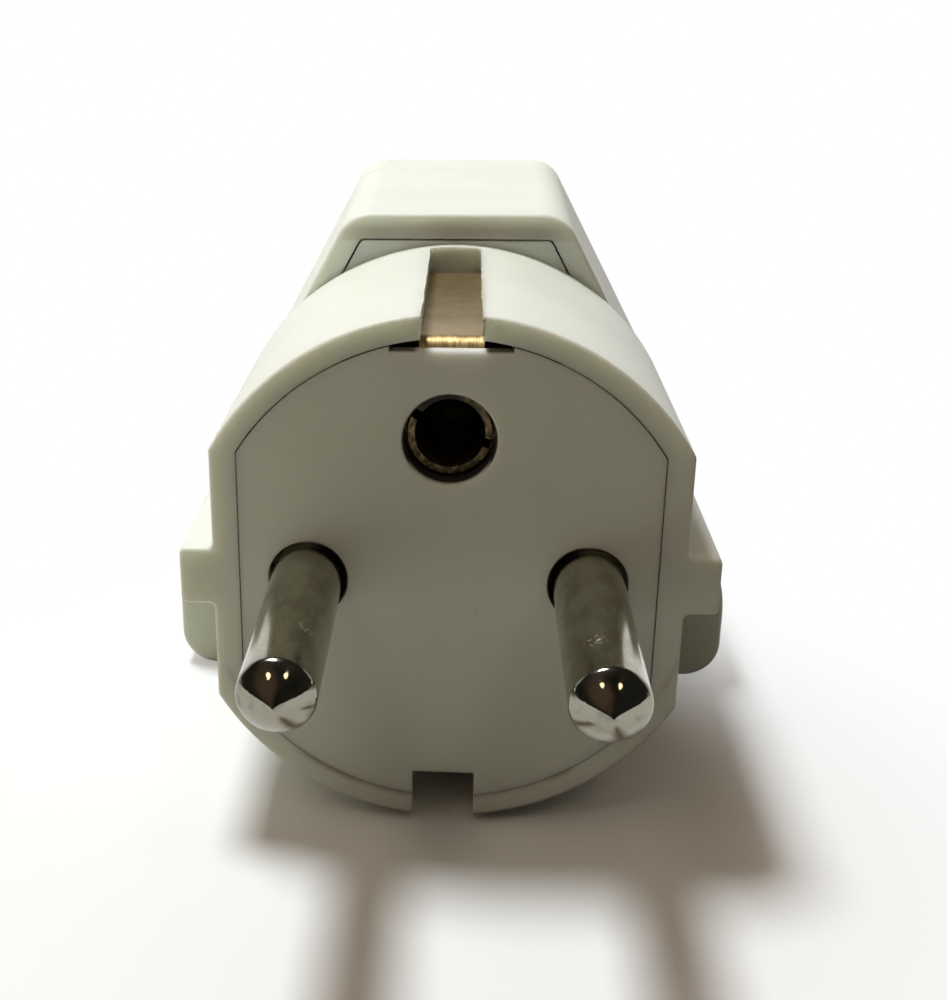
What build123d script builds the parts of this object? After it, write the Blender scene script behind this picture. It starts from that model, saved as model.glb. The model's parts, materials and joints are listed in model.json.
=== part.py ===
"""Plug adapter: a two-pin earthed plug in front, a universal socket behind.

The origin is the centre of the plug's face, midway between the pins.  The pins point along -Y, the body
runs back along +Y and Z is up.  All sizes are millimetres.
"""
import os
from math import cos, hypot, radians, sin, tan

from build123d import *

# Plug pattern
PIN_DIAMETER = 4.8
PIN_SPACING = 19.0
PIN_LENGTH = 19.0
PIN_TIP_HEIGHT = 1.7
PIN_TIP_BULGE = 0.26
PIN_SHOULDER_ROUND = 0.6
EARTH_RISE = 10.0

# Nose of the plug
NOSE_DIAMETER = 36.8
NOSE_LENGTH = 25.0
FLAT_MARGIN = 6.5
NOSE_CORNER = 0.4
NOSE_EDGE = 0.25
ROUND_WALL = 1.6
FLAT_WALL = 1.8
RIB_PROUD = 2.3
RIB_HEIGHT = 4.1
TOP_SLOT_WIDTH = 4.0
BOTTOM_SLOT_WIDTH = 4.4
SLOT_END_WALL = 1.2
SLOT_CORNER = 0.5
LEDGE_WIDTH = 1.0
LEDGE_DEPTH = 1.4
THROAT_INSET = 2.0

# Face plate
FACE_THICKNESS = 2.6
PLATE_SEAM = 0.1
PIN_HOLE_GAP = 0.3
EARTH_HOLE_GAP = 0.25
EARTH_HOLE_ROUND = 0.25
TOP_NOTCH_WIDTH = 8.0
TOP_NOTCH_DEPTH = 0.75
NOTCH_LIP = 0.6
NOTCH_ROUND = 0.5
BOTTOM_NOTCH_WIDTH = 4.4
BOTTOM_NOTCH_DEPTH = 2.05

# Body behind the nose
BODY_TOP = 20.75
BODY_BOTTOM = -18.9
BODY_WIDTH = 47.0
BODY_TOP_WIDTH = 16.9
BODY_SLANT = 28.5
BODY_DRAFT = 0.85
HIP_DROP = 18.75
SHOULDER_DROP = 31.75
BODY_LENGTH = 37.4
COVER_LENGTH = 9.8
BODY_WALL = 1.5
BODY_CORNER = 3.0
SHOULDER_CORNER = 12.0
INNER_CORNER = 1.5
FRONT_EDGE = 0.35
REAR_EDGE = 2.6
JOINT_EDGE = 0.25

# Window in the shell's front wall, filled by the plug's flange
FRONT_WALL = 2.2
WINDOW_TOP_RIM = 1.95
WINDOW_SLANT_RIM = 1.7
WINDOW_SIDE_RIM = 3.7
WINDOW_FOOT_RIM = 2.3
WINDOW_CORNER = 0.6
FLANGE_SEAM = 0.15
FLANGE_BACKING = 2.0
FIT = 0.15

# Socket cover and its openings
REAR_WALL = 2.2
TONGUE_LENGTH = 2.5
TONGUE_WALL = 1.2
EARTH_POLE_INSET = 7.95
POLE_RISE = 22.2
ROUND_HOLE_DIAMETER = 5.4
WIDE_HOLE_OFFSET = 11.1
WIDE_HOLE_WIDTH = 7.0
WIDE_HOLE_HEIGHT = 4.6
BLADE_OFFSET = 6.35
TILTED_BLADE_OFFSET = 6.85
TILTED_BLADE_ANGLE = 30.0
BLADE_HOLE_WIDTH = 2.4
BLADE_HOLE_HEIGHT = 8.4
EARTH_SLOT_WIDTH = 4.6
EARTH_SLOT_HEIGHT = 8.8

# Brass sheet, pins and sleeve inside
SHEET = 0.8
SHEET_BEND = 1.2
STRAP_WIDTH = 4.2
STRAP_DROP = 0.2
STRAP_END_GAP = 1.3
HOOK_HEIGHT = 1.8
HOOK_GAP = 0.5
EAR_WIDTH = 1.5
SLEEVE_BORE = 4.7
SLEEVE_WALL = 0.45
SLEEVE_RECESS = 1.7
SLEEVE_LENGTH = 14.0
SLEEVE_COLLAR_LIP = 0.8
SLEEVE_COLLAR_LENGTH = 1.0
SLIT_WIDTH = 0.65
SLIT_LENGTH = 11.0
SLIT_ANGLES = (-15.0, 150.0)
HOLE_GAP = 0.1
PIN_STEP = 0.1
COLLAR_LIP = 1.2
COLLAR_LENGTH = 2.0
TAIL_DIAMETER = 4.0
RIVET_LIP = 0.8
RIVET_HEIGHT = 1.0

# Receptacle contacts
STRIP_GAP = 0.4
STRIP_HEIGHT = 5.0
RING_REACH = 3.2
LINK_WIDTH = 3.8
JAW_SETBACK = 4.8
JAW_FLARE = 6.0
JAW_END_GAP = 4.2
JAW_ROOT_GAP = 5.6
JAW_PINCH_GAP = 3.6
JAW_MOUTH_GAP = 6.0
EARTH_STRIP_DROP = 5.4
EARTH_STRIP_WIDTH = 5.0
EARTH_JAW_HEIGHT = 9.2

# Carrier
CARRIER_BASE = 2.0
STOP_POST_DIAMETER = 6.0
POCKET_WALL = 1.0
POCKET_GAP = 0.3
STRIP_SLOT_GAP = 0.3

# Cover screws
SCREW_INSET = 4.4
SCREW_SHANK = 2.5
SCREW_LENGTH = 16.0
SCREW_HEAD_DIAMETER = 5.0
SCREW_HEAD_HEIGHT = 1.8
SCREW_HEAD_EDGE = 0.6
SCREW_HEAD_GAP = 0.2
SCREW_HOLE_GAP = 0.25
PILOT_GAP = 0.05
PILOT_SPARE = 2.0
SCREW_POST_DIAMETER = 6.4
RECESS_LENGTH = 3.0
RECESS_WIDTH = 0.8
RECESS_DEPTH = 1.0

# How far a cut runs past the face it leaves
CUT_SPARE = 1.0

# Places along Y, from the face back to the rear
SLOT_END = NOSE_LENGTH - SLOT_END_WALL
STRAP_END = SLOT_END - STRAP_END_GAP
HOOK_FRONT = NOTCH_LIP + HOLE_GAP
COLLAR_BACK = FACE_THICKNESS + COLLAR_LENGTH
RIVET_BACK = COLLAR_BACK + SHEET + RIVET_HEIGHT
FLANGE_BACK = NOSE_LENGTH + FRONT_WALL
BACKING_BACK = FLANGE_BACK + FLANGE_BACKING
CARRIER_BACK = BACKING_BACK + CARRIER_BASE
BODY_END = NOSE_LENGTH + BODY_LENGTH
COVER_START = BODY_END - COVER_LENGTH
POCKET_END = BODY_END - REAR_WALL
JAW_FRONT = CARRIER_BACK + JAW_SETBACK
JAW_MOUTH = POCKET_END - JAW_END_GAP
JAW_PINCH = JAW_MOUTH - JAW_FLARE

# Places across the part
PIN_X = PIN_SPACING / 2
FLAT_X = PIN_X + FLAT_MARGIN
SEAT_RADIUS = NOSE_DIAMETER / 2 - ROUND_WALL
STRAP_TOP = SEAT_RADIUS - STRAP_DROP
HOOK_FOOT = STRAP_TOP - HOOK_HEIGHT
SLEEVE_DIAMETER = SLEEVE_BORE + 2 * SLEEVE_WALL
EARTH_POLE = BODY_TOP - EARTH_POLE_INSET
POLE_Z = EARTH_POLE - POLE_RISE
STRIP_X = FLAT_X - FLAT_WALL - STRIP_GAP
EARTH_STRIP_Z = EARTH_RISE - EARTH_STRIP_DROP
JAW_INNER = BLADE_OFFSET - BLADE_HOLE_WIDTH / 2
POCKET_OUTER = WIDE_HOLE_OFFSET + WIDE_HOLE_WIDTH / 2
JAW_OUTER = POCKET_OUTER - POCKET_GAP
SCREW_X = BODY_WIDTH / 2 - SCREW_INSET
SCREW_Z = BODY_BOTTOM + SCREW_INSET


def prism(profile, front, back):
    """Carries a flat X-Z profile from Y = front back to Y = back."""
    return extrude(Plane.XZ.offset(-back) * profile, amount=back - front)


def rod(diameter, x, z, front, back):
    """A round bar along Y."""
    return prism(Pos(x, z) * Circle(diameter / 2), front, back)


def panel(x_range, z_range):
    """A flat rectangle between the given X and Z limits."""
    width, height = x_range[1] - x_range[0], z_range[1] - z_range[0]
    middle = Pos((x_range[0] + x_range[1]) / 2, (z_range[0] + z_range[1]) / 2)
    return middle * Rectangle(width, height)


def block(x_range, z_range, front, back):
    """A rectangular bar along Y between the given X and Z limits."""
    return prism(panel(x_range, z_range), front, back)


def folded(*points):
    """Section of folded sheet: its thickness lies to the left of the line through the points."""
    path = FilletPolyline(*points, radius=SHEET_BEND)
    return make_face(offset(path, amount=SHEET, side=Side.LEFT))


def mirrored(profile):
    """The same profile or solid on the other side of X = 0."""
    return mirror(profile, about=Plane.YZ)


def nose_face(wall_round=0.0, wall_flat=0.0):
    """Circle with two side flats, inset by the given walls."""
    radius = NOSE_DIAMETER / 2 - wall_round
    return Circle(radius) & Rectangle(2 * (FLAT_X - wall_flat), NOSE_DIAMETER)


def seat_face(inset=0.0):
    """The hollow of the nose that takes the face plate."""
    return nose_face(ROUND_WALL + inset, FLAT_WALL + inset)


def house():
    """Sharp outline of the body's front: flat top, slanted roof, leaning flanks and upright sides."""
    ridge, side = BODY_TOP_WIDTH / 2, BODY_WIDTH / 2
    hip = ridge + HIP_DROP * tan(radians(BODY_SLANT))
    half = [(ridge, BODY_TOP), (hip, BODY_TOP - HIP_DROP),
            (side, BODY_TOP - SHOULDER_DROP), (side, BODY_BOTTOM)]
    other = [(-x, z) for x, z in reversed(half)]
    return make_face(Polyline(*half, *other, close=True))


def inner_house(inset):
    """The sharp outline moved inwards on all sides."""
    return offset(house(), amount=-inset, kind=Kind.INTERSECTION)


def body_face(inset):
    """Section inside the body's walls, with round corners."""
    return fillet(inner_house(inset).vertices(), INNER_CORNER)


def window_face(gap=0.0):
    """The window in the shell's front wall, or the flange that fills it with a gap all round."""
    side = BODY_WIDTH / 2 - WINDOW_SIDE_RIM - gap
    foot, top = BODY_BOTTOM + WINDOW_FOOT_RIM + gap, BODY_TOP - WINDOW_TOP_RIM - gap
    face = inner_house(WINDOW_SLANT_RIM + gap) & panel((-side, side), (foot, top))
    return fillet(face.vertices(), WINDOW_CORNER)


def lengthwise(solid):
    """The edges that run from the body's front to its rear, in groups from the bottom up."""
    edges = solid.edges().filter_by(lambda e: abs((e @ 1 - e @ 0).Y) > BODY_LENGTH / 2)
    return edges.group_by(Axis.Z)


def body_form(front, back):
    """The body's outer form between two places along Y; its sides spread towards the rear."""
    form = prism(house(), NOSE_LENGTH, BODY_END)
    sides = form.faces().filter_by(Axis.Y, reverse=True).filter_by(Axis.Z, reverse=True)
    form = draft(sides, Plane.XZ.offset(-NOSE_LENGTH), BODY_DRAFT)
    _, shoulders, hips, _ = lengthwise(form)
    form = fillet(shoulders + hips, SHOULDER_CORNER)
    levels = lengthwise(form)
    form = fillet(levels[0] + levels[-1], BODY_CORNER)
    return form & block((-BODY_WIDTH, BODY_WIDTH), (2 * BODY_BOTTOM, 2 * BODY_TOP), front, back)


def pole_pocket(grow=0.0):
    """Inside of the right-hand contact pocket, wide enough for every pin shape, grown on all sides."""
    tilt = radians(TILTED_BLADE_ANGLE)
    blade_reach = (BLADE_HOLE_HEIGHT * sin(tilt) + BLADE_HOLE_WIDTH * cos(tilt)) / 2
    inner = TILTED_BLADE_OFFSET - blade_reach - POCKET_GAP
    foot = POLE_Z - BLADE_HOLE_HEIGHT / 2 - POCKET_GAP
    top = STRIP_HEIGHT / 2 + POCKET_GAP
    return panel((inner - grow, POCKET_OUTER + grow), (foot - grow, top + grow))


def earth_pocket(grow=0.0):
    """Inside of the earth contact's pocket, grown on all sides."""
    half = JAW_MOUTH_GAP / 2 + SHEET + POCKET_GAP + grow
    foot = EARTH_STRIP_Z - POCKET_GAP - grow
    top = EARTH_POLE + EARTH_JAW_HEIGHT / 2 + POCKET_GAP + grow
    return panel((-half, half), (foot, top))


def pockets(grow=0.0):
    """All three contact pockets as one flat profile."""
    pole = pole_pocket(grow)
    return pole + mirrored(pole) + earth_pocket(grow)


def screw_posts(diameter, front, back):
    """A pair of round posts on the screw axes."""
    post = rod(diameter, SCREW_X, SCREW_Z, front, back)
    return post + mirrored(post)


def slot(width, height):
    """Cutter for a slot in the nose between its hollow and the given height, round in its far corners."""
    floor = STRAP_TOP - SHEET
    cutter = block((-width / 2, width / 2), (floor, height), -CUT_SPARE, SLOT_END)
    return fillet(cutter.edges().filter_by(Axis.Z).group_by(Axis.Y)[-1], SLOT_CORNER)


def plug_body():
    """Nose with ribs, its flange in the shell's window and the backing flange behind the front wall."""
    outline = nose_face() + Rectangle(2 * (FLAT_X + RIB_PROUD), RIB_HEIGHT)
    outline = fillet(outline.vertices(), NOSE_CORNER)
    nose = prism(outline, 0, NOSE_LENGTH)
    nose = fillet(nose.faces().sort_by(Axis.Y)[0].outer_wire().edges(), NOSE_EDGE)
    flange = prism(window_face(FLANGE_SEAM), NOSE_LENGTH, FLANGE_BACK)
    backing = prism(body_face(BODY_WALL + FIT), FLANGE_BACK, BACKING_BACK)
    backing -= screw_posts(SCREW_POST_DIAMETER + 2 * FIT, FLANGE_BACK, BACKING_BACK)
    body = nose + flange + backing
    ledge_back = FACE_THICKNESS + LEDGE_DEPTH
    body -= prism(seat_face(), 0, FACE_THICKNESS)
    body -= prism(nose_face(ROUND_WALL + LEDGE_WIDTH, FLAT_WALL), FACE_THICKNESS, ledge_back)
    body -= prism(seat_face(), ledge_back, SLOT_END)
    strip_way = Rectangle(2 * (STRIP_X + STRIP_SLOT_GAP), STRIP_HEIGHT + 2 * STRIP_SLOT_GAP)
    throat = nose_face(ROUND_WALL + THROAT_INSET, FLAT_WALL) + strip_way
    body -= prism(throat, SLOT_END, BACKING_BACK)
    body -= prism(seat_face() & Rectangle(TOP_NOTCH_WIDTH, NOSE_DIAMETER), FACE_THICKNESS, ledge_back)
    rim = NOSE_DIAMETER / 2 + CUT_SPARE
    return body - slot(TOP_SLOT_WIDTH, rim) - mirror(slot(BOTTOM_SLOT_WIDTH, rim), about=Plane.XY)


def hook_pocket():
    """Cutter for the pocket behind the plate's thin lip, with a sloping floor under the strap's hook."""
    foot, rim = HOOK_FOOT - HOOK_GAP, NOSE_DIAMETER / 2
    back = FACE_THICKNESS
    corners = [(NOTCH_LIP, rim), (NOTCH_LIP, foot), (back, foot + NOTCH_LIP - back), (back, rim)]
    side = Polyline(*corners, close=True)
    return extrude(Plane.YZ * make_face(side), amount=TOP_NOTCH_WIDTH / 2, both=True)


def face_plate():
    """Plate that closes the nose, with its pin holes, earth hole and the two notches over the strap."""
    plate = prism(seat_face(PLATE_SEAM), 0, FACE_THICKNESS)
    back = FACE_THICKNESS + CUT_SPARE
    for x in (-PIN_X, PIN_X):
        plate -= rod(PIN_DIAMETER + 2 * PIN_HOLE_GAP, x, 0, -CUT_SPARE, back)
    hole_diameter = SLEEVE_DIAMETER + 2 * EARTH_HOLE_GAP
    plate -= rod(hole_diameter, 0, EARTH_RISE, -CUT_SPARE, back)
    front = plate.edges().filter_by(GeomType.CIRCLE).group_by(Axis.Y)[0]
    mouth = [e for e in front if abs(e.arc_center.X) < 1e-6 and abs(e.radius - hole_diameter / 2) < 1e-6]
    plate = fillet(mouth, EARTH_HOLE_ROUND)
    half, floor = TOP_NOTCH_WIDTH / 2, SEAT_RADIUS - TOP_NOTCH_DEPTH
    plate -= block((-half, half), (floor, NOSE_DIAMETER / 2), -CUT_SPARE, back)
    half, roof = BOTTOM_NOTCH_WIDTH / 2, BOTTOM_NOTCH_DEPTH - SEAT_RADIUS
    plate -= block((-half, half), (-NOSE_DIAMETER / 2, roof), -CUT_SPARE, back)
    plate -= hook_pocket()
    sill = plate.edges().filter_by(Axis.X).group_by(Axis.Y)[0].sort_by(Axis.Z)[-1]
    return fillet(sill, NOTCH_ROUND)


def pin(side):
    """Turned pin: domed tip with a shallow point, shaft, collar behind the plate, tail and rivet head."""
    radius, inner = PIN_DIAMETER / 2, PIN_DIAMETER / 2 - PIN_STEP
    collar, tail = radius + COLLAR_LIP, TAIL_DIAMETER / 2
    rivet, rivet_front = tail + RIVET_LIP, COLLAR_BACK + SHEET
    shoulder = PIN_TIP_HEIGHT - PIN_LENGTH
    bulge = PIN_TIP_BULGE / hypot(radius, PIN_TIP_HEIGHT)
    halfway = (radius / 2 + bulge * PIN_TIP_HEIGHT, shoulder - PIN_TIP_HEIGHT / 2 - bulge * radius)
    tip = ThreePointArc((0, -PIN_LENGTH), halfway, (radius, shoulder))
    shaft = Polyline((radius, shoulder), (radius, 0), (inner, 0),
                     (inner, FACE_THICKNESS), (collar, FACE_THICKNESS), (collar, COLLAR_BACK),
                     (tail, COLLAR_BACK), (tail, rivet_front), (rivet, rivet_front), (rivet, RIVET_BACK),
                     (0, RIVET_BACK), (0, -PIN_LENGTH))
    face = make_face(tip + shaft)
    corner = [v for v in face.vertices() if abs(v.X - radius) < 1e-6 and abs(v.Y - shoulder) < 1e-6]
    return Pos(side * PIN_X, 0, 0) * revolve(fillet(corner, PIN_SHOULDER_ROUND), Axis.Y)


def earth_sleeve():
    """Split sleeve that grips the earth pin of a wall socket, with a collar behind the earth contact."""
    front, back = SLEEVE_RECESS, SLEEVE_RECESS + SLEEVE_LENGTH
    seat = FACE_THICKNESS + 2 * SHEET
    collar = SLEEVE_DIAMETER + 2 * SLEEVE_COLLAR_LIP
    sleeve = rod(SLEEVE_DIAMETER, 0, 0, front, back)
    sleeve += rod(collar, 0, 0, seat, seat + SLEEVE_COLLAR_LENGTH)
    sleeve -= rod(SLEEVE_BORE, 0, 0, front, back)
    for angle in SLIT_ANGLES:
        slit = block((0, collar), (-SLIT_WIDTH / 2, SLIT_WIDTH / 2), front, front + SLIT_LENGTH)
        sleeve -= Rot(0, -angle, 0) * slit
    return Pos(0, 0, EARTH_RISE) * sleeve


def with_ear(sheet, front):
    """The sheet with a round ear added at Y = front, drilled for the earth sleeve."""
    back = front + SHEET
    ear = rod(SLEEVE_DIAMETER + 2 * EAR_WIDTH, 0, EARTH_RISE, front, back)
    return sheet + ear - rod(SLEEVE_DIAMETER + 2 * HOLE_GAP, 0, EARTH_RISE, 0, back)


def earth_strap():
    """Strap with contacts under both slots, a hook in the plate's top notch and a web behind the plate."""
    web_top = HOOK_FOOT + HOOK_FRONT - FACE_THICKNESS
    section = folded((STRAP_END, STRAP_TOP), (HOOK_FRONT, STRAP_TOP), (HOOK_FRONT, HOOK_FOOT),
                     (FACE_THICKNESS, web_top), (FACE_THICKNESS, -STRAP_TOP), (STRAP_END, -STRAP_TOP))
    strap = extrude(Plane.YZ * section, amount=STRAP_WIDTH / 2, both=True)
    return with_ear(strap, FACE_THICKNESS)


def jaw_section():
    """Section of a receptacle jaw: two leaves that close to a pinch and flare to a mouth."""
    root, pinch, mouth = JAW_ROOT_GAP / 2, JAW_PINCH_GAP / 2, JAW_MOUTH_GAP / 2
    return folded((JAW_MOUTH, -mouth), (JAW_PINCH, -pinch), (JAW_FRONT, -root),
                  (JAW_FRONT, root), (JAW_PINCH, pinch), (JAW_MOUTH, mouth))


def pole_contact():
    """Right-hand pole contact: ring on the pin's tail, strip along the nose, link and receptacle jaw."""
    half = STRIP_HEIGHT / 2
    section = folded((PIN_X - RING_REACH, COLLAR_BACK), (STRIP_X, COLLAR_BACK),
                     (STRIP_X, JAW_FRONT), (STRIP_X - LINK_WIDTH, JAW_FRONT))
    strip = extrude(Plane.XY * section, amount=half, both=True)
    strip -= rod(TAIL_DIAMETER + 2 * HOLE_GAP, PIN_X, 0, COLLAR_BACK, COLLAR_BACK + SHEET)
    link = block((STRIP_X - LINK_WIDTH, STRIP_X - SHEET_BEND), (POLE_Z, half), JAW_FRONT - SHEET, JAW_FRONT)
    jaw = extrude(Plane.YZ * Pos(0, POLE_Z) * jaw_section(), amount=JAW_OUTER - JAW_INNER)
    return strip + link + Pos(JAW_INNER, 0, 0) * jaw


def earth_contact():
    """Earth contact: ear round the sleeve, strip back under it, link and upright jaw."""
    front = FACE_THICKNESS + SHEET
    section = folded((front, EARTH_RISE), (front, EARTH_STRIP_Z),
                     (JAW_FRONT, EARTH_STRIP_Z), (JAW_FRONT, EARTH_POLE))
    strip = extrude(Plane.YZ * section, amount=EARTH_STRIP_WIDTH / 2, both=True)
    jaw = extrude(Rot(0, 0, 90) * jaw_section(), amount=EARTH_JAW_HEIGHT / 2, both=True)
    return with_ear(strip, front) + Pos(0, 0, EARTH_POLE) * jaw


def contact_carrier():
    """Base behind the backing flange, stop posts behind the pins and three pockets for the contacts."""
    base = prism(body_face(BODY_WALL + FIT), BACKING_BACK, CARRIER_BACK)
    half = STRIP_HEIGHT / 2 + STRIP_SLOT_GAP
    slot = block((STRIP_X - SHEET - STRIP_SLOT_GAP, STRIP_X + STRIP_SLOT_GAP), (-half, half),
                 BACKING_BACK, CARRIER_BACK)
    base -= slot + mirrored(slot)
    half = EARTH_STRIP_WIDTH / 2 + STRIP_SLOT_GAP
    strip_z = (EARTH_STRIP_Z - STRIP_SLOT_GAP, EARTH_STRIP_Z + SHEET + STRIP_SLOT_GAP)
    base -= block((-half, half), strip_z, BACKING_BACK, CARRIER_BACK)
    post = rod(STOP_POST_DIAMETER, PIN_X, 0, RIVET_BACK, CARRIER_BACK)
    walls = prism(pockets(POCKET_WALL) - pockets(), CARRIER_BACK, POCKET_END)
    carrier = base + post + mirrored(post) + walls
    return carrier - screw_posts(SCREW_POST_DIAMETER + 2 * FIT, BACKING_BACK, POCKET_END)


def body_shell():
    """Shell open to the rear, with the flange's window in its front wall and two screw posts."""
    shell = body_form(NOSE_LENGTH, COVER_START)
    shell = fillet(shell.faces().sort_by(Axis.Y)[0].outer_wire().edges(), FRONT_EDGE)
    shell = chamfer(shell.faces().sort_by(Axis.Y)[-1].outer_wire().edges(), JOINT_EDGE)
    shell -= prism(body_face(BODY_WALL), FLANGE_BACK, COVER_START)
    shell -= prism(window_face(), NOSE_LENGTH, FLANGE_BACK)
    posts = screw_posts(SCREW_POST_DIAMETER, FLANGE_BACK, COVER_START)
    shell += posts & prism(body_face(BODY_WALL / 2), FLANGE_BACK, COVER_START)
    pilot_end = POCKET_END - SCREW_LENGTH - PILOT_SPARE
    return shell - screw_posts(SCREW_SHANK + 2 * PILOT_GAP, pilot_end, COVER_START)


def socket_holes():
    """Openings for round, wide, straight and tilted pins at both poles, and the earth opening."""
    blade = Rectangle(BLADE_HOLE_WIDTH, BLADE_HOLE_HEIGHT)
    pole = Pos(PIN_X, POLE_Z) * Circle(ROUND_HOLE_DIAMETER / 2)
    pole += Pos(WIDE_HOLE_OFFSET, POLE_Z) * Rectangle(WIDE_HOLE_WIDTH, WIDE_HOLE_HEIGHT)
    pole += Pos(BLADE_OFFSET, POLE_Z) * blade
    pole += Pos(TILTED_BLADE_OFFSET, POLE_Z) * Rot(0, 0, TILTED_BLADE_ANGLE) * blade
    return pole + mirrored(pole) + Pos(0, EARTH_POLE) * Rectangle(EARTH_SLOT_WIDTH, EARTH_SLOT_HEIGHT)


def socket_cover():
    """Rear cup with the socket openings, a tongue into the shell and two posts for the screws."""
    tongue_start = COVER_START - TONGUE_LENGTH
    cover = body_form(COVER_START, BODY_END)
    cover = fillet(cover.faces().sort_by(Axis.Y)[-1].outer_wire().edges(), REAR_EDGE)
    cover = chamfer(cover.faces().sort_by(Axis.Y)[0].outer_wire().edges(), JOINT_EDGE)
    tongue = prism(body_face(BODY_WALL + FIT), tongue_start, COVER_START)
    cover += tongue - screw_posts(SCREW_POST_DIAMETER + 2 * FIT, tongue_start, COVER_START)
    hollow = body_face(BODY_WALL + FIT + TONGUE_WALL) + pockets(POCKET_WALL + FIT)
    cover -= prism(hollow, tongue_start, POCKET_END)
    posts = screw_posts(SCREW_POST_DIAMETER, COVER_START, POCKET_END)
    cover += posts & prism(body_face(BODY_WALL / 2), COVER_START, POCKET_END)
    cover -= prism(socket_holes(), POCKET_END, BODY_END + CUT_SPARE)
    cover -= screw_posts(SCREW_SHANK + 2 * SCREW_HOLE_GAP, COVER_START, BODY_END)
    return cover - screw_posts(SCREW_HEAD_DIAMETER + 2 * SCREW_HEAD_GAP, POCKET_END, BODY_END + CUT_SPARE)


def cover_screws():
    """Two pan-head screws with cross recesses."""
    head_top = POCKET_END + SCREW_HEAD_HEIGHT
    screw = rod(SCREW_SHANK, 0, 0, POCKET_END - SCREW_LENGTH, POCKET_END)
    screw += rod(SCREW_HEAD_DIAMETER, 0, 0, POCKET_END, head_top)
    screw = chamfer(screw.edges().filter_by(GeomType.CIRCLE).group_by(Axis.Y)[-1], SCREW_HEAD_EDGE)
    cross = Rectangle(RECESS_LENGTH, RECESS_WIDTH) + Rectangle(RECESS_WIDTH, RECESS_LENGTH)
    screw -= prism(cross, head_top - RECESS_DEPTH, head_top)
    return Compound([Pos(x, 0, SCREW_Z) * screw for x in (-SCREW_X, SCREW_X)])


def main():
    """Builds every piece and writes one file for each."""
    right_contact = pole_contact()
    pieces = {
        "plug_body": plug_body(),
        "face_plate": face_plate(),
        "pin_left": pin(-1),
        "pin_right": pin(1),
        "earth_sleeve": earth_sleeve(),
        "earth_strap": earth_strap(),
        "body_shell": body_shell(),
        "socket_cover": socket_cover(),
        "contact_carrier": contact_carrier(),
        "right_contact": right_contact,
        "left_contact": mirrored(right_contact),
        "earth_contact": earth_contact(),
        "cover_screws": cover_screws(),
    }
    os.makedirs("parts", exist_ok=True)
    for name, piece in pieces.items():
        export_step(piece, os.path.join("parts", name + ".step"))


main()
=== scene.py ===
"""Plug adapter on a pale table: finishes of its pieces, moulding flash, table, light and camera.

The frame is in metres, with the pins along -Y and Z up.  Values are in millimetres where a heading says so,
and colours are linear.
"""
import json
from math import radians

import bpy
import numpy as np
from mathutils import Matrix, Vector


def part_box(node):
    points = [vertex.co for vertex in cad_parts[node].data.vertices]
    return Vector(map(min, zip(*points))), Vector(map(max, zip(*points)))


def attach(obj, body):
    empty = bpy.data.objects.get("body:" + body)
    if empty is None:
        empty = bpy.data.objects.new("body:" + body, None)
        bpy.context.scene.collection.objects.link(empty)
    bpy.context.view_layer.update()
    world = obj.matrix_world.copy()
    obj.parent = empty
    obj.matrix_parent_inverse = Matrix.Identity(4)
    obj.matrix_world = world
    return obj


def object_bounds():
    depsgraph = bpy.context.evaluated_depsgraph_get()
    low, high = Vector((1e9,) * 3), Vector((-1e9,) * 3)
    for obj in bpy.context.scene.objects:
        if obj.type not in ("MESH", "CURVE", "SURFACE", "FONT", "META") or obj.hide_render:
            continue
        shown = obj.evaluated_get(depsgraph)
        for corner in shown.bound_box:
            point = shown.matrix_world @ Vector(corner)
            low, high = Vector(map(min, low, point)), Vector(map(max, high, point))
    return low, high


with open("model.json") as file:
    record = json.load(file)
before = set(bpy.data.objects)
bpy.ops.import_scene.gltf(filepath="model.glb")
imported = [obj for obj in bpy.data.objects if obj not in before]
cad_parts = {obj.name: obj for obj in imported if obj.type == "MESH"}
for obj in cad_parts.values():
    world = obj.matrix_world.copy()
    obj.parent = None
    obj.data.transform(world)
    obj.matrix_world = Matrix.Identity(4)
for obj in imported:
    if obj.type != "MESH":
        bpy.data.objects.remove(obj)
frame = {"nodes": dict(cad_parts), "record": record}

cad_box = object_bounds()
MM = 0.001

# Photograph's camera: place in millimetres, turns in degrees, lens in pixels of the photograph
PHOTO_SIZE = (947, 1000)
CAMERA_PLACE = (0.702, -91.14, 38.606)
CAMERA_YAW = -4.389
CAMERA_PITCH = 21.845
CAMERA_ROLL = -0.350
FOCAL_PIXELS = 1457.1
CENTRE_PIXEL = (354.15, 553.18)
SENSOR = 36.0

# Lamps: directions point from the part to the lamp, distances and sizes are in metres
KEY_DIRECTION = (-0.27, 0.255, 1.0)
KEY_DISTANCE = 0.42
KEY_SIZE = 0.1
KEY_POWER = 1.56
ROOM_LAMP_DIRECTIONS = ((-0.36, -0.55, 0.755), (0.373, -0.54, 0.756))
ROOM_LAMP_DISTANCE = 0.6
ROOM_LAMP_SIZE = 0.105
ROOM_LAMP_POWER = 0.125
WHITE = (1.0, 1.0, 1.0)
WARM = (1.0, 0.84, 0.62)

# Room: colours by direction, and the cosines between which one colour turns into the next
GLOW_DIRECTION = (-0.65, 0.35, 0.67)
GLOW_TURN = (-0.6, 0.9)
GLOW_DIM = (0.033, 0.027, 0.019)
GLOW_BRIGHT = (0.338, 0.256, 0.19)
ROOM_DARK = (0.03, 0.028, 0.024)
ROOM_PATCH = (0.14, 0.09, 0.068)
ROOM_PATCH_DIRECTION = (-0.46, -0.72, 0.52)
ROOM_PATCH_TURN = (0.75, 1.0)
ROOM_BACK = (0.95, 0.95, 0.93)
ROOM_BACK_TURN = (0.15, 0.5)
ROOM_BACK_TOP = (0.6, 0.25)

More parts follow.
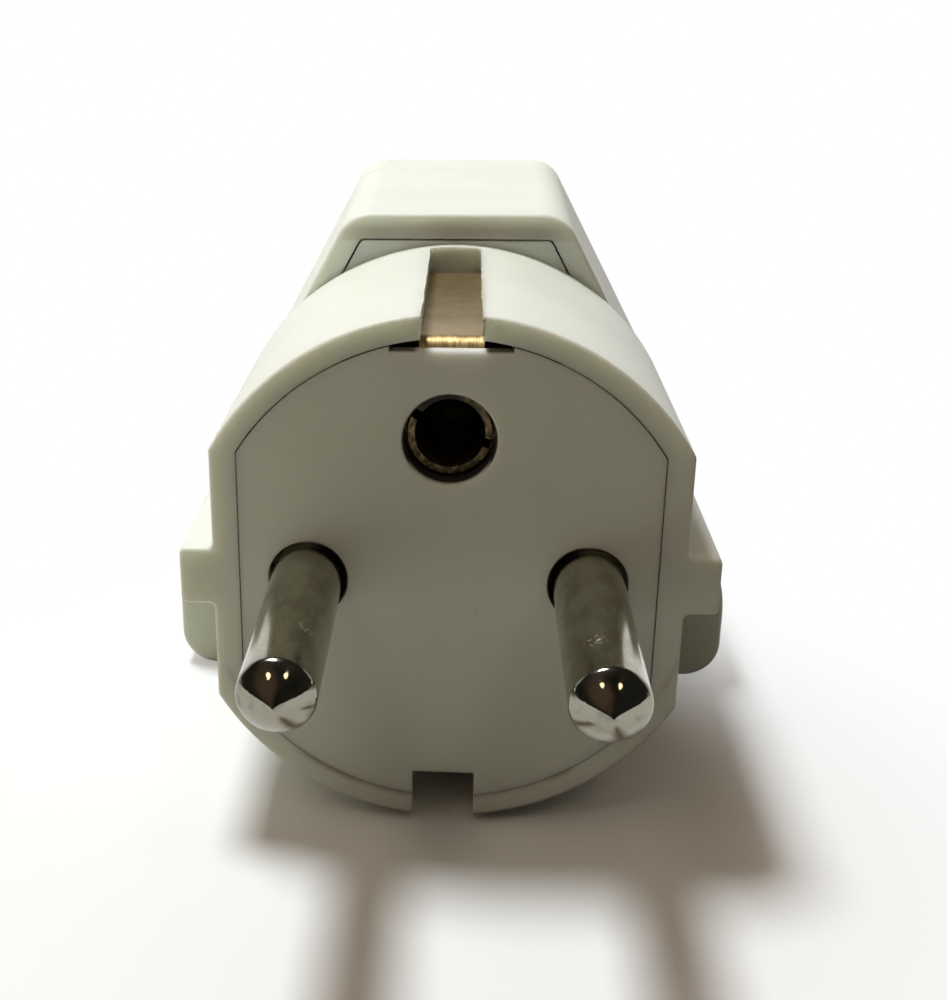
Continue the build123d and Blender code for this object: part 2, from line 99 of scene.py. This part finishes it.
# Table, in metres: its reach, where its shadow gives way to plain white, and where mirrors see its edge
TABLE_REACH = 6.0
TABLE_NEAR = 0.02
TABLE_FAR = 0.055
TABLE_EDGE = 0.2
TABLE_EDGE_BLUR = 0.06
TABLE_WHITE = (0.895, 0.94, 0.97)
TABLE_BOUNCE_LEFT = (0.67, 0.67, 0.59)
TABLE_BOUNCE_RIGHT = (0.125, 0.119, 0.097)
TABLE_BOUNCE_TURN = (0.005, -0.04)

# Sizes of the part that its finishes keep to, in millimetres
PIN_X = 9.5
PIN_HOLE_RADIUS = 2.72
EARTH_Z = 10.0
EARTH_HOLE_RADIUS = 3.07
SEAT_RADIUS = 16.8
SLOT_HALF = 2.0
SLOT_END = 23.8
NOSE_RADIUS = 18.4
BODY_START = 25.0

# Plastic: light goes this deep into it, in millimetres, and further in red than in blue
SCATTER_WEIGHT = 0.7
SCATTER_DEPTH = 1.6
SCATTER_COLOURS = (1.0, 0.92, 0.75)
HOUSING_COLOURS = ((0.77, 0.84, 0.765), (0.745, 0.81, 0.735))
HOUSING_ROUGHNESS = 0.36
PLATE_COLOURS = ((0.75, 0.815, 0.75), (0.725, 0.785, 0.715))
PLATE_ROUGHNESS = 0.33
FLASH_ROUGHNESS = 0.4
SPECK = (0.24, 0.2, 0.14)
CARRIER_COLOURS = ((0.15, 0.15, 0.15), (0.19, 0.19, 0.185))

# Metal
SHAFT_COLOURS = ((0.44, 0.425, 0.345), (0.29, 0.275, 0.215))
TIP_COLOURS = ((0.31, 0.295, 0.235), (0.19, 0.185, 0.15))
PIT = (0.25, 0.22, 0.16)
SCRATCH = (0.95, 0.93, 0.88)
PIN_FILM = (0.5, 0.45, 0.36)
BRASS_COLOURS = ((0.37, 0.28, 0.15), (0.29, 0.215, 0.11))
BRASS_GRAIN = (0.46, 0.36, 0.21)
BRASS_RUBBED = (0.56, 0.43, 0.26)
# The lip's brighter colours are a painted highlight; in the earth hole the brass colours are partly
# tarnished and partly painted shade, with painted glints
LIP_HIGHLIGHT_COLOURS = ((0.66, 0.5, 0.25), (0.42, 0.3, 0.14))
SLEEVE_TARNISH_AND_SHADE = ((0.07, 0.055, 0.03), (0.32, 0.24, 0.115))
SLEEVE_PAINTED_GLINT = (0.8, 0.6, 0.3)
STEEL_COLOURS = ((0.66, 0.66, 0.65), (0.48, 0.48, 0.5))

# Painted shade in the face plate's gaps and hollows, on the pin roots and in the earth hole, and soiling
# along the seam: where each soft edge starts and ends, in millimetres, and how strong it is
SHADE_AND_GRIME_BLACK = (0.03, 0.026, 0.02)
BROWN = (0.3, 0.22, 0.14)
MASK_BLUR = 0.12
PIN_INNER_SIDE = (PIN_X + 0.3, PIN_X - 1.6)
EARTH_DEPTH = (0.1, 0.7)
EARTH_LOWER_EDGE = (EARTH_Z - 2.4, EARTH_Z - 1.2)
NOTCH_SIDE = (SLOT_HALF, SLOT_HALF + 0.5)
NOTCH_FOOT = (15.0, 15.3)
NOTCH_DEPTH = (0.05, 0.2)
NOTCH_SHADE = 0.85
SEAM_WIDTH = (0.42, 0.05)
SEAM_DEPTH = (0.7, 0.3)
SEAM_TOP = (-3.0, -11.0)
SEAM_GRIME = 0.45
PLATE_SEAM_SHARE = 0.5

# Brown tint of the nose and of the body's brow above it, given in the same way: in the top slot it is
# painted shade and a painted reflection of the brass, on the front edge beside the slot it is wear, and on
# the brow it is partly painted shade and partly soiling
SLOT_WALL_SIDE = (SLOT_HALF + 0.1, SLOT_HALF + 0.02)
SLOT_WALL_END = (SLOT_END + 0.1, SLOT_END)
SLOT_WALL_FOOT = (15.5, 16.5)
SLOT_WALL_SHADE = 0.18
EDGE_DEPTH = (0.9, 0.2)
EDGE_SIDE = (11.0, 4.0)
EDGE_FOOT = (NOSE_RADIUS - 1.5, NOSE_RADIUS - 0.5)
EDGE_TINT = 0.12
BROW_DEPTH = (BODY_START + 0.6, BODY_START + 0.2)
BROW_SIDE = (10.2, 6.2)
BROW_FOOT = (18.5, 18.8)
BROW_TOP = (20.4, 19.3)
BROW_SHADE_AND_GRIME = 0.52

# Wear of the metal, the painted highlight on the strap's front lip, and the painted shade on the pin roots
# and on the earth sleeve, in millimetres: the tip and its shoulder count from a pin's end, the rest from
# the face
TIP_REACH = (2.2, 1.8)
SHOULDER_START = (1.1, 1.4)
FILM_START = (-0.05, 0.15)
SCRATCH_PLACES = ((-8.25, -12.3, 2.05), (8.8, -13.6, 2.3))
SCRATCH_SPREAD = 0.9
RUBBED_REACH = (7.0, 3.0)
LIP_REACH = (2.0, 1.6)
SLEEVE_SHADOW_FOOT = (EARTH_Z + 1.2, EARTH_Z + 2.0)
SLEEVE_SHADOW_SIDE = (1.2, 0.4)

# Moulding flash on the top slot, in millimetres: sizes are the width at the root and the greatest height,
# and each side has a name, a sign on X and a seed
FLASH_SINK = 0.06
FLASH_FINE_SHARE = 0.35
FLASH_LEAST = 0.03
FLASH_LEAN = (0.6, 0.8)
EDGE_FLASH_RUN = (0.3, 22.5)
EDGE_FLASH_STEPS = 120
EDGE_FLASH_SIZE = (0.3, 0.3)
CORNER_FLASH_DROP = (0.1, 1.35)
CORNER_FLASH_STEPS = 24
CORNER_FLASH_SIZE = (0.25, 0.2)
FLASH_SIDES = (("left", -1, 3), ("right", 1, 8))


class Value:
    """A shader output that takes part in sums: each operator adds one Math node to its tree."""

    def __init__(self, tree, socket):
        self.tree = tree
        self.socket = socket

    def math(self, operation, *others):
        return self.tree.node("ShaderNodeMath", {"operation": operation}, dict(enumerate([self, *others])))

    def __add__(self, other):
        return self.math("ADD", other)

    def __radd__(self, other):
        return self.math("ADD", other)

    def __sub__(self, other):
        return self.math("SUBTRACT", other)

    def __rsub__(self, other):
        return self.tree.node("ShaderNodeMath", {"operation": "SUBTRACT"}, {0: other, 1: self})

    def __mul__(self, other):
        return self.math("MULTIPLY", other)

    def __rmul__(self, other):
        return self.math("MULTIPLY", other)

    def __abs__(self):
        return self.math("ABSOLUTE")

    def larger(self, other):
        return self.math("MAXIMUM", other)

    def smooth(self, start, end):
        """0 before start, 1 past end, with a soft step between them; start may lie above end."""
        settings = {"interpolation_type": "SMOOTHSTEP"}
        sockets = {"Value": self, "From Min": start, "From Max": end}
        return self.tree.node("ShaderNodeMapRange", settings, sockets)


class Tree:
    """The nodes of a material or of the world; node() adds one, its settings first and then its sockets."""

    def __init__(self, owner):
        owner.use_nodes = True
        self.nodes = owner.node_tree.nodes
        self.links = owner.node_tree.links

    def node(self, kind, settings=(), sockets=(), output=0):
        node = self.nodes.new(kind)
        for name, value in dict(settings).items():
            setattr(node, name, value)
        self.feed(node, sockets)
        return Value(self, node.outputs[output])

    def feed(self, node, sockets):
        """Links the sockets that are given a Value, and sets the others."""
        for name, value in dict(sockets).items():
            if isinstance(value, Value):
                self.links.new(value.socket, node.inputs[name])
            else:
                node.inputs[name].default_value = value

    def mix(self, amount, first, second):
        """Colour between first, where the amount is 0, and second, where it is 1."""
        colours = [(*c, 1.0) if isinstance(c, tuple) else c for c in (first, second)]
        sockets = {0: amount, 6: colours[0], 7: colours[1]}
        return self.node("ShaderNodeMix", {"data_type": "RGBA"}, sockets, 2)

    def vector_number(self, operation, *vectors):
        """The number that a Vector Math operation gives, such as a distance or a dot product."""
        settings = {"operation": operation}
        return self.node("ShaderNodeVectorMath", settings, dict(enumerate(vectors)), "Value")

    def part_of(self, vector, axis):
        return self.node("ShaderNodeSeparateXYZ", (), {0: vector}, axis)

    def background_rays(self):
        """1 for each kind of ray that shows a background: from the camera, off gloss, through glass."""
        outputs = self.node("ShaderNodeLightPath").socket.node.outputs
        return [Value(self, outputs[f"Is {kind} Ray"]) for kind in ("Camera", "Glossy", "Transmission")]


class Finish(Tree):
    """A Principled material: plain numbers are set once, and patterns on Object coordinates feed the rest.

    Places and sizes that its methods take are in millimetres.
    """

    def __init__(self, name, **numbers):
        self.material = bpy.data.materials.new(name)
        super().__init__(self.material)
        self.shader = self.nodes["Principled BSDF"]
        self.put(**numbers)
        self.place = self.node("ShaderNodeTexCoord", output="Object")

    def put(self, **sockets):
        """Sets or links Principled sockets, written with _ for the spaces in their names."""
        self.feed(self.shader, {name.replace("_", " "): value for name, value in sockets.items()})

    def step(self, axis, edge):
        """Soft step along an axis: 0 before the edge's first place and 1 past its second."""
        return self.part_of(self.place, axis).smooth(edge[0] * MM, edge[1] * MM)

    def side_step(self, edge):
        """Soft step across the part, by the distance from its middle plane to either side."""
        return abs(self.part_of(self.place, "X")).smooth(edge[0] * MM, edge[1] * MM)

    def stretched(self, scale):
        """Object coordinates multiplied by a different factor on each axis."""
        return self.node("ShaderNodeMapping", (), {"Vector": self.place, "Scale": scale})

    def noise(self, size, detail=2.0, roughness=0.5, stretch=(1, 1, 1)):
        """Soft noise between 0 and 1 whose blotches are about the given size."""
        sockets = {"Scale": 1 / (size * MM), "Detail": detail, "Roughness": roughness}
        return self.node("ShaderNodeTexNoise", (), {"Vector": self.stretched(stretch), **sockets})

    def specks(self, spacing, size):
        """Small round specks, 1 inside, about one in each cell of the given spacing."""
        cells = self.node("ShaderNodeTexVoronoi", (), {"Vector": self.place, "Scale": 1 / (spacing * MM)})
        return cells.smooth(size / spacing, 0.4 * size / spacing)

    def round_mask(self, x, z, radius):
        """1 inside a round bar along Y about the given X and Z, 0 outside, with a soft edge."""
        away = self.vector_number("DISTANCE", self.stretched((1, 0, 1)), (x * MM, 0, z * MM))
        return away.smooth((radius + MASK_BLUR) * MM, radius * MM)

    def spot(self, middle, radius):
        """Soft round spot about a place: full in the inner half of its radius."""
        away = self.vector_number("DISTANCE", self.place, Vector(middle) * MM)
        return away.smooth(radius * MM, 0.5 * radius * MM)

    def bump(self, height, depth):
        """Surface relief: height 1 stands the given depth above height 0."""
        sockets = {"Height": height, "Distance": depth * MM, "Strength": 1.0}
        self.put(Normal=self.node("ShaderNodeBump", (), sockets))


def moulded_plastic(name, colours, roughness, painted_shade_and_marks, painted_shade_and_marks_colour, scatter=SCATTER_WEIGHT):
    """Satin off-white plastic: faint clouds of tint, fine grain, a few specks, and painted shade, wear and
    soiling by its mask.
    """
    finish = Finish(name, Specular_IOR_Level=0.42, Subsurface_Weight=scatter)
    finish.put(Subsurface_Scale=SCATTER_DEPTH * MM, Subsurface_Radius=SCATTER_COLOURS)
    cloud = finish.noise(11.0, 3.0)
    grain = finish.noise(0.35, 3.0, 0.6)
    specks = finish.specks(4.2, 0.22) * finish.noise(6.0).smooth(0.52, 0.6)
    tint = finish.mix(cloud.smooth(0.35, 0.7), *colours)
    tint = finish.mix(specks * 0.55, tint, SPECK)
    # The mask holds painted shade as well as wear and soiling
    shade_and_marks = painted_shade_and_marks(finish)
    finish.put(Base_Color=finish.mix(shade_and_marks, tint, painted_shade_and_marks_colour))
    finish.put(Roughness=roughness + 0.1 * cloud + 0.08 * grain + 0.5 * shade_and_marks)
    finish.bump(grain + 1.5 * finish.noise(2.4), 0.012)
    return finish.material


def plate_shade_and_grime(finish):
    """Painted shade in the face plate's gaps and hollows, beside the pins and the strap and in the earth
    hole, and soiling along the seam.
    """
    # Painted shade: black on the inner sides of the pin holes, in the earth hole except near the front of
    # its lower edge, and on the notch floor beside the strap
    left, right = (finish.round_mask(x, 0, PIN_HOLE_RADIUS) for x in (-PIN_X, PIN_X))
    pins = left.larger(right) * finish.side_step(PIN_INNER_SIDE)
    deep = finish.step("Y", EARTH_DEPTH).larger(finish.step("Z", EARTH_LOWER_EDGE))
    earth = finish.round_mask(0, EARTH_Z, EARTH_HOLE_RADIUS) * deep
    notch = finish.side_step(NOTCH_SIDE) * finish.step("Z", NOTCH_FOOT) * finish.step("Y", NOTCH_DEPTH)
    seam = seam_grime(finish) * PLATE_SEAM_SHARE
    return pins.larger(earth).larger(notch * NOTCH_SHADE).larger(seam)


def seam_grime(finish):
    """Soft brown line along the lower half of the seam round the face plate, uneven in strength."""
    away = abs(finish.vector_number("LENGTH", finish.stretched((1, 0, 1))) - SEAT_RADIUS * MM)
    line = away.smooth(SEAM_WIDTH[0] * MM, SEAM_WIDTH[1] * MM) * finish.step("Y", SEAM_DEPTH)
    uneven = finish.noise(5.0).smooth(0.3, 0.6)
    return line * finish.step("Z", SEAM_TOP) * uneven * SEAM_GRIME


def nose_wear_and_shade(finish):
    """Brown tint: painted shade and a painted reflection of the brass in the top slot, wear on the rough
    front edge beside it, partly painted shade and partly soiling on the body's brow, and soiling along the
    seam.
    """
    # Painted shade and a painted reflection of the brass strap inside the top slot
    walls = finish.side_step(SLOT_WALL_SIDE) * finish.step("Y", SLOT_WALL_END)
    walls = walls * finish.step("Z", SLOT_WALL_FOOT) * SLOT_WALL_SHADE
    edge = finish.step("Y", EDGE_DEPTH) * finish.side_step(EDGE_SIDE) * finish.step("Z", EDGE_FOOT)
    edge = edge * finish.noise(0.4, 3.0, 0.7).smooth(0.42, 0.6) * EDGE_TINT
    # On the brow the brown is partly painted shade and partly soiling
    brow = finish.step("Y", BROW_DEPTH) * finish.side_step(BROW_SIDE)
    brow = brow * finish.step("Z", BROW_FOOT) * finish.step("Z", BROW_TOP) * BROW_SHADE_AND_GRIME
    return walls.larger(edge).larger(brow).larger(seam_grime(finish))


def pin_scratches(finish):
    """Short bright lines in a spot on each pin: level lines of a fine noise, broken up by a finer one."""
    fine = finish.noise(0.7, 2.0, 0.6) - 0.5
    lines = (fine * fine).smooth(0.0004, 0.0)
    left, right = (finish.spot(place, SCRATCH_SPREAD) for place in SCRATCH_PLACES)
    return lines * left.larger(right) * finish.noise(0.4).smooth(0.45, 0.55)


def pin_nickel():
    """Nickel plate: shaft with lengthwise rubs, pits and a few scratches, polished tip with turned rings.

    Inside the face plate a dull non-metal film stands in for the metal and shows none of its reflections,
    and it is painted black as shade where the pins face each other.
    """
    finish = Finish("pin_nickel")
    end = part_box("pin_left")[0].y / MM
    tip = finish.step("Y", [end + reach for reach in TIP_REACH])
    shoulder = finish.step("Y", [end + start for start in SHOULDER_START]) * tip
    root = finish.step("Y", FILM_START)
    rubs = finish.noise(1.1, 3.0, 0.6, (1, 0.06, 1))
    pits = finish.noise(0.3, 3.0, 0.7).smooth(0.55, 0.75)
    haze = finish.noise(1.7, 4.0, 0.65, (1, 0.5, 1))
    rings = finish.noise(0.2, 2.0, 0.6, (0, 1, 0))
    dents = finish.noise(0.8)
    scratch = pin_scratches(finish)
    plate = finish.mix(haze.smooth(0.35, 0.65), *SHAFT_COLOURS)
    plate = finish.mix(pits * 0.35, plate, PIT)
    plate = finish.mix(scratch, plate, SCRATCH)
    polish = finish.mix(finish.noise(1.3).smooth(0.5, 0.75), *TIP_COLOURS)
    plate = finish.mix(tip, plate, polish)
    # Painted shade: the film is black where the pins face each other
    film = finish.mix(finish.side_step(PIN_INNER_SIDE), PIN_FILM, SHADE_AND_GRIME_BLACK)
    finish.put(Base_Color=finish.mix(root, plate, film), Metallic=1 - root)
    shaft = 0.12 + 0.07 * rubs + 0.04 * pits + 0.3 * scratch + 0.5 * root
    finish.put(Roughness=shaft * (1 - tip) + 0.06 * tip + 0.1 * shoulder)
    relief = 0.5 * rubs + (0.3 + 1.5 * shoulder) * rings + 0.6 * scratch + 2 * tip * dents
    finish.bump(relief, 0.003)
    return finish.material


def contact_brass():
    """Stamped brass with a satin grain and stains, rubbed near the face, with a painted highlight on its
    front lip; in the earth hole it is tarnished and darkened as painted shade, with painted glints, and
    black as painted shadow at the top left.
    """
    finish = Finish("contact_brass", Metallic=1.0)
    grain = finish.noise(0.3, 3.0, 0.6, (1, 0.35, 1))
    stain = finish.noise(2.1, 4.0, 0.6)
    knurl = finish.noise(0.22, 2.0, 0.6, (1, 0.2, 0.2)).smooth(0.4, 0.6)
    brass = finish.mix(stain.smooth(0.3, 0.75), *BRASS_COLOURS)
    brass = finish.mix(grain.smooth(0.4, 0.8) * 0.5, brass, BRASS_GRAIN)
    brass = finish.mix(finish.step("Y", RUBBED_REACH) * 0.7, brass, BRASS_RUBBED)
    # Painted highlight on the strap's front lip, broken up by a knurl
    brass = finish.mix(finish.step("Y", LIP_REACH), brass, finish.mix(knurl, *LIP_HIGHLIGHT_COLOURS))
    sleeve = finish.round_mask(0, EARTH_Z, EARTH_HOLE_RADIUS)
    # In the earth hole the brass is tarnished and darkened as painted shade, with painted glints
    tarnish_and_shade = finish.mix(finish.noise(0.6, 3.0, 0.6).smooth(0.4, 0.7), *SLEEVE_TARNISH_AND_SHADE)
    tarnish_and_shade = finish.mix(grain.smooth(0.66, 0.74), tarnish_and_shade, SLEEVE_PAINTED_GLINT)
    # Painted shadow of the hole's top edge: black on the sleeve at the top left
    dark = finish.step("Z", SLEEVE_SHADOW_FOOT) * finish.step("X", SLEEVE_SHADOW_SIDE)
    finish.put(Base_Color=finish.mix(sleeve, brass, finish.mix(dark, tarnish_and_shade, SHADE_AND_GRIME_BLACK)))
    finish.put(Roughness=0.3 + 0.12 * stain + 0.06 * grain + 0.15 * sleeve)
    finish.bump(grain, 0.006)
    return finish.material


def carrier_plastic():
    """Dark grey moulded plastic with a coarse grain."""
    finish = Finish("carrier_plastic", Specular_IOR_Level=0.4)
    grain = finish.noise(0.6, 3.0, 0.6)
    finish.put(Base_Color=finish.mix(grain, *CARRIER_COLOURS))
    finish.put(Roughness=0.45 + 0.15 * grain)
    finish.bump(grain, 0.02)
    return finish.material


def screw_steel():
    """Zinc-plated steel: fine rings across the screws, and a grey haze over the shine."""
    finish = Finish("screw_steel", Metallic=1.0)
    haze = finish.noise(0.9, 3.0, 0.6)
    finish.put(Base_Color=finish.mix(haze, *STEEL_COLOURS))
    finish.put(Roughness=0.26 + 0.2 * haze)
    finish.bump(finish.noise(0.4, stretch=(1, 8, 1)), 0.008)
    return finish.material


def sheet_mesh(name, points, closed=False):
    """Mesh over a grid of points: rows and columns of places, with a face between each four neighbours.

    A closed one joins its last column to its first and caps its first and last rows.
    """
    rows, columns = points.shape[:2]
    index = np.arange(rows * columns).reshape(rows, columns)
    caps = [index[0, ::-1].tolist(), index[-1].tolist()] if closed else []
    if closed:
        index = np.concatenate([index, index[:, :1]], axis=1)
    corners = (index[:-1, :-1], index[:-1, 1:], index[1:, 1:], index[1:, :-1])
    faces = np.stack(corners, axis=-1).reshape(-1, 4)
    mesh = bpy.data.meshes.new(name)
    mesh.from_pydata(points.reshape(-1, 3).tolist(), [], faces.tolist() + caps)
    piece = bpy.data.objects.new(name, mesh)
    bpy.context.scene.collection.objects.link(piece)
    return piece


def burr(name, path, out, size, seed):
    """Ragged sliver of moulding flash, in millimetres, along a path.

    Its section is a triangle that stands on the path in the direction out.  Its width and height follow
    seeded noise, a share of it fine and the rest coarse, which fades with the sixth power of the way from
    the middle to an end.  Its tip leans to either side at random.
    """
    width, height = size
    draw = np.random.default_rng(seed)
    count = len(path)
    along = np.linspace(0, 1, count)
    coarse = np.interp(along, np.linspace(0, 1, count // 8), draw.random(count // 8))
    rough = FLASH_FINE_SHARE * draw.random(count) + (1 - FLASH_FINE_SHARE) * coarse
    rough = rough * (1 - (2 * along - 1) ** 6) + FLASH_LEAST
    lean = 0.3 * (draw.random(count) - 0.5)
    step = np.gradient(path, axis=0)
    side = np.cross(step / np.linalg.norm(step, axis=1)[:, None], out)
    root = path - FLASH_SINK * out
    spread = side * (width * (0.4 + 0.6 * rough))[:, None] / 2
    tip = path + out * (height * rough ** 1.5)[:, None] + side * (lean * width)[:, None]
    return sheet_mesh(name, np.stack([root - spread, tip, root + spread], axis=1) * MM, closed=True)


def slot_flash(material):
    """Flash along the slot's two top edges, leaning over the slot, and down its two front corners."""
    top = np.sqrt(NOSE_RADIUS ** 2 - SLOT_HALF ** 2)
    run = np.linspace(*EDGE_FLASH_RUN, EDGE_FLASH_STEPS)
    drop = top - np.linspace(*CORNER_FLASH_DROP, CORNER_FLASH_STEPS)
    inward, outward = FLASH_LEAN
    for name, sign, seed in FLASH_SIDES:
        edge = np.stack([np.full_like(run, sign * SLOT_HALF), run, np.full_like(run, top)], axis=1)
        corner = np.stack([np.full_like(drop, sign * SLOT_HALF), np.zeros_like(drop), drop], axis=1)
        upward = np.array((-inward * sign, 0, outward))
        forward = np.array((-inward * sign, -outward, 0))
        pieces = (burr(f"{name}_slot_flash", edge, upward, EDGE_FLASH_SIZE, seed),
                  burr(f"{name}_corner_flash", corner, forward, CORNER_FLASH_SIZE, seed + 1))
        for piece in pieces:
            piece.data.materials.append(material)
            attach(piece, "root")


def table():
    """Flat table under the part: X and Y run evenly over a square at the height of the part's underside."""
    height = cad_box[0].z
    reach = np.linspace(-TABLE_REACH, TABLE_REACH, 3)
    x, y = np.meshgrid(reach, reach)
    piece = sheet_mesh("table", np.stack([x, y, np.full_like(x, height)], axis=-1))
    material = bpy.data.materials.new("table_paper")
    piece.data.materials.append(material)
    paint_table(material, height)


def paint_table(material, height):
    """White paper that keeps the part's shadow, is plain white further away and has an edge in mirrors.

    The light that it throws on the part is strong on the left and weak on the right.
    """
    tree = Tree(material)
    tree.nodes.remove(tree.nodes["Principled BSDF"])
    direct, glossy, through = tree.background_rays()
    shown = direct.larger(glossy).larger(through)
    place = tree.node("ShaderNodeTexCoord", output="Object")
    across = tree.vector_number("DISTANCE", place, (0, 0, height))
    left = tree.part_of(place, "X").smooth(*TABLE_BOUNCE_TURN)
    bounce = tree.mix(left, TABLE_BOUNCE_RIGHT, TABLE_BOUNCE_LEFT)
    paper = tree.node("ShaderNodeBsdfDiffuse", (), {"Color": tree.mix(shown, bounce, TABLE_WHITE)})
    front = tree.part_of(place, "Y").smooth(TABLE_EDGE / 2, TABLE_EDGE / 4)
    beyond = across.smooth(TABLE_EDGE, TABLE_EDGE + TABLE_EDGE_BLUR) * front * glossy
    white = tree.node("ShaderNodeEmission", (), {"Color": tree.mix(beyond, WHITE, ROOM_DARK)})
    far = across.smooth(TABLE_NEAR, TABLE_FAR) * shown
    mixed = tree.node("ShaderNodeMixShader", (), {0: far, 1: paper, 2: white})
    tree.feed(tree.nodes["Material Output"], {"Surface": mixed})


def room():
    """World: white behind the part, a dark room for reflections, a warm fill from the upper left."""
    world = bpy.data.worlds.new("room")
    bpy.context.scene.world = world
    tree = Tree(world)
    direct, glossy, through = tree.background_rays()
    way = tree.node("ShaderNodeTexCoord", output="Generated")

    def toward(direction, turn):
        """Soft step by the cosine of the angle between the looked-at direction and the given one."""
        return tree.vector_number("DOT_PRODUCT", way, Vector(direction).normalized()).smooth(*turn)

    glow = tree.mix(toward(GLOW_DIRECTION, GLOW_TURN), GLOW_DIM, GLOW_BRIGHT)
    mirrored = tree.mix(toward(ROOM_PATCH_DIRECTION, ROOM_PATCH_TURN), ROOM_DARK, ROOM_PATCH)
    behind = toward((0, 1, 0), ROOM_BACK_TURN) * toward((0, 0, 1), ROOM_BACK_TOP)
    mirrored = tree.mix(behind, mirrored, ROOM_BACK)
    seen = tree.mix(glossy.larger(through), glow, mirrored)
    tree.feed(tree.nodes["Background"], {"Color": tree.mix(direct, seen, WHITE)})


def lamp(name, direction, distance, size, power, colour):
    """Round lamp that faces the part from the given direction."""
    light = bpy.data.lights.new(name, "AREA")
    light.shape = "DISK"
    light.size = size
    light.energy = power
    light.color = colour
    thing = bpy.data.objects.new(name, light)
    way = Vector(direction).normalized()
    turn = (-way).to_track_quat("-Z", "Y").to_matrix().to_4x4()
    thing.matrix_world = Matrix.Translation(way * distance) @ turn
    bpy.context.scene.collection.objects.link(thing)


def lamps():
    """A key lamp above and behind the part, and two warm lamps of the room that its pins mirror."""
    lamp("key", KEY_DIRECTION, KEY_DISTANCE, KEY_SIZE, KEY_POWER, WHITE)
    for number, direction in enumerate(ROOM_LAMP_DIRECTIONS):
        name = f"room_lamp_{number}"
        lamp(name, direction, ROOM_LAMP_DISTANCE, ROOM_LAMP_SIZE, ROOM_LAMP_POWER, WARM)


def camera():
    """The photograph's camera: turned by yaw, pitch and roll, with its centre pixel set by the shift."""
    width, height = PHOTO_SIZE
    view = bpy.data.cameras.new("camera")
    view.sensor_width = SENSOR
    view.lens = FOCAL_PIXELS * SENSOR / height
    view.shift_x = (width / 2 - CENTRE_PIXEL[0]) / height
    view.shift_y = (CENTRE_PIXEL[1] - height / 2) / height
    view.clip_start = MM
    thing = bpy.data.objects.new("camera", view)
    turn = Matrix.Rotation(radians(-CAMERA_YAW), 4, "Z")
    turn = turn @ Matrix.Rotation(radians(90 - CAMERA_PITCH), 4, "X")
    turn = turn @ Matrix.Rotation(radians(CAMERA_ROLL), 4, "Z")
    thing.matrix_world = Matrix.Translation(Vector(CAMERA_PLACE) * MM) @ turn
    bpy.context.scene.collection.objects.link(thing)
    bpy.context.scene.camera = thing


def dress():
    """Gives every node of the frame the finish of its material slot."""
    finishes = {
        "housing_plastic": moulded_plastic(
            "housing_plastic", HOUSING_COLOURS, HOUSING_ROUGHNESS, nose_wear_and_shade, BROWN),
        "plate_plastic": moulded_plastic(
            "plate_plastic", PLATE_COLOURS, PLATE_ROUGHNESS, plate_shade_and_grime, SHADE_AND_GRIME_BLACK),
        "pin_nickel": pin_nickel(),
        "contact_brass": contact_brass(),
        "carrier_plastic": carrier_plastic(),
        "screw_steel": screw_steel(),
    }
    for row in frame["record"]["subparts"]:
        mesh = frame["nodes"][row["node"]].data
        mesh.materials.clear()
        mesh.materials.append(finishes[row["material_slot"]])


bpy.context.scene.view_settings.view_transform = "Standard"
dress()
slot_flash(moulded_plastic("flash_plastic", HOUSING_COLOURS, FLASH_ROUGHNESS, nose_wear_and_shade, BROWN, 0.0))
table()
room()
lamps()
camera()
